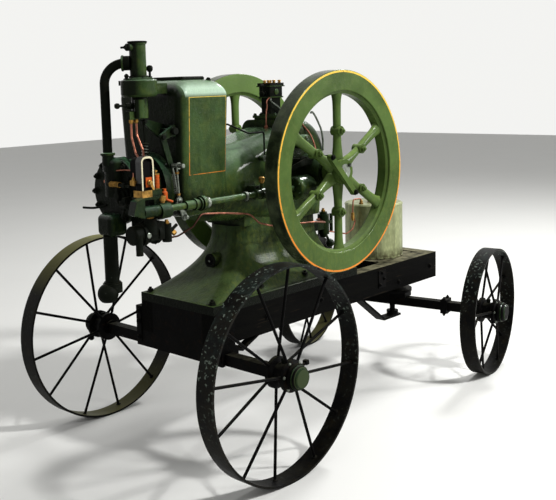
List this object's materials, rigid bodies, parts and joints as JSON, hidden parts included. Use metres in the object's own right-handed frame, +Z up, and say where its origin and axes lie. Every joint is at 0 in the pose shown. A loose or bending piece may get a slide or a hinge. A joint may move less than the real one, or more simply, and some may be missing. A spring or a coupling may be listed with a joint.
{
  "type": "hopper-cooled stationary engine on a four-wheel truck",
  "caption": "Horizontal hit-and-miss engine with open-top water hopper, side shaft and twin flywheels, bolted to a timber-sill truck with steel wheels and a steered axle.",
  "frame": {"origin": "on the ground, under the middle of the whole machine's box", "axes": "+X along the truck towards the small steered wheels, +Y away from the side shaft, +Z up"},
  "size_m": [2.5935, 1.401, 1.827],
  "materials": {
    "engine_green": "worn gloss enamel",
    "flywheel_green": "gloss enamel",
    "truck_black": "worn black enamel",
    "sill_wood": "black painted timber",
    "tank_zinc": "galvanised",
    "copper": "polished copper tube",
    "magnet_plate": "nickel plated",
    "magneto_black": "black moulded case",
    "coil_orange": "varnished winding",
    "brass": "dull brass",
    "bright_steel": "bright steel",
    "oily_iron": "oily black iron"
  },
  "bodies": {
    "engine_and_truck": {"axle_braces": "truck_black", "base_pedestal": "engine_green", "big_wheel_axle": "truck_black", "crankcase": "engine_green", "crankcase_cover": "engine_green", "cylinder_and_hopper": "engine_green", "cylinder_head": "engine_green", "exhaust_outlet": "oily_iron", "exhaust_pipe": "oily_iron", "far_sill": "sill_wood", "feed_pump": "engine_green", "front_bolster": "truck_black", "fuel_line": "copper", "fuel_pump": "engine_green", "fuel_tank": "tank_zinc", "fuel_tank_cap": "brass", "governor_rod": "oily_iron", "hopper_rim": "oily_iron", "intake_pipe": "oily_iron", "intake_valve_housing": "engine_green", "king_pin_strap": "truck_black", "lubricator_box": "oily_iron", "lubricator_stand": "oily_iron", "magneto_base": "brass", "magneto_body": "magneto_black", "magneto_coil": "coil_orange", "magneto_magnets": "magnet_plate", "mixer_bowl": "engine_green", "mixer_fuel_pipe": "copper", "mixer_tube": "engine_green", "near_sill": "sill_wood", "push_rods": "bright_steel", "rear_cross_member": "sill_wood", "rocker_levers": "engine_green", "side_shaft_bearing": "engine_green", "side_shaft_housing": "engine_green", "tank_board": "sill_wood", "throttle_body": "engine_green", "upper_bolster": "truck_black"},
    "crank": {"crankshaft": "bright_steel", "flywheel_near": "flywheel_green", "flywheel_far": "flywheel_green", "starting_bar": "flywheel_green"},
    "side_shaft_body": {"side_shaft": "engine_green"},
    "steering": {"lower_bolster": "truck_black", "small_wheel_axle": "truck_black", "axle_clamps": "truck_black"},
    "big_wheel_near": {"big_wheel_near_tyre": "truck_black", "big_wheel_near_hub_and_spokes": "truck_black"},
    "big_wheel_far": {"big_wheel_far_tyre": "truck_black", "big_wheel_far_hub_and_spokes": "truck_black"},
    "small_wheel_near": {"small_wheel_near_tyre": "truck_black", "small_wheel_near_hub_and_spokes": "truck_black"},
    "small_wheel_far": {"small_wheel_far_tyre": "truck_black", "small_wheel_far_hub_and_spokes": "truck_black"}
  },
  "joints": [
    {"name": "crank_spin", "type": "hinge", "parent": "engine_and_truck", "child": "crank", "pos_m": [-0.11026, 0, 1.213], "axis": [0, 1, 0], "continuous": true},
    {"name": "side_shaft_spin", "type": "hinge", "parent": "engine_and_truck", "child": "side_shaft_body", "pos_m": [-0.83526, -0.23, 1.147], "axis": [1, 0, 0], "continuous": true},
    {"name": "steer", "type": "hinge", "parent": "engine_and_truck", "child": "steering", "pos_m": [0.84174, 0, 0.3485], "axis": [0, 0, 1], "range_deg": [-45, 25]},
    {"name": "big_wheel_near_spin", "type": "hinge", "parent": "engine_and_truck", "child": "big_wheel_near", "pos_m": [-0.83526, -0.5985, 0.457], "axis": [0, 1, 0], "continuous": true},
    {"name": "small_wheel_near_spin", "type": "hinge", "parent": "steering", "child": "small_wheel_near", "pos_m": [0.94193, -0.56823, 0.3485], "axis": [-0.1736, 0.9848, 0], "continuous": true},
    {"name": "big_wheel_far_spin", "type": "hinge", "parent": "engine_and_truck", "child": "big_wheel_far", "pos_m": [-0.83526, 0.5985, 0.457], "axis": [0, 1, 0], "continuous": true},
    {"name": "small_wheel_far_spin", "type": "hinge", "parent": "steering", "child": "small_wheel_far", "pos_m": [0.74155, 0.56823, 0.3485], "axis": [-0.1736, 0.9848, 0], "continuous": true}
  ],
  "couplings": [
    {"joint": "side_shaft_spin", "follows": "crank_spin", "ratio": 0.5}
  ]
}
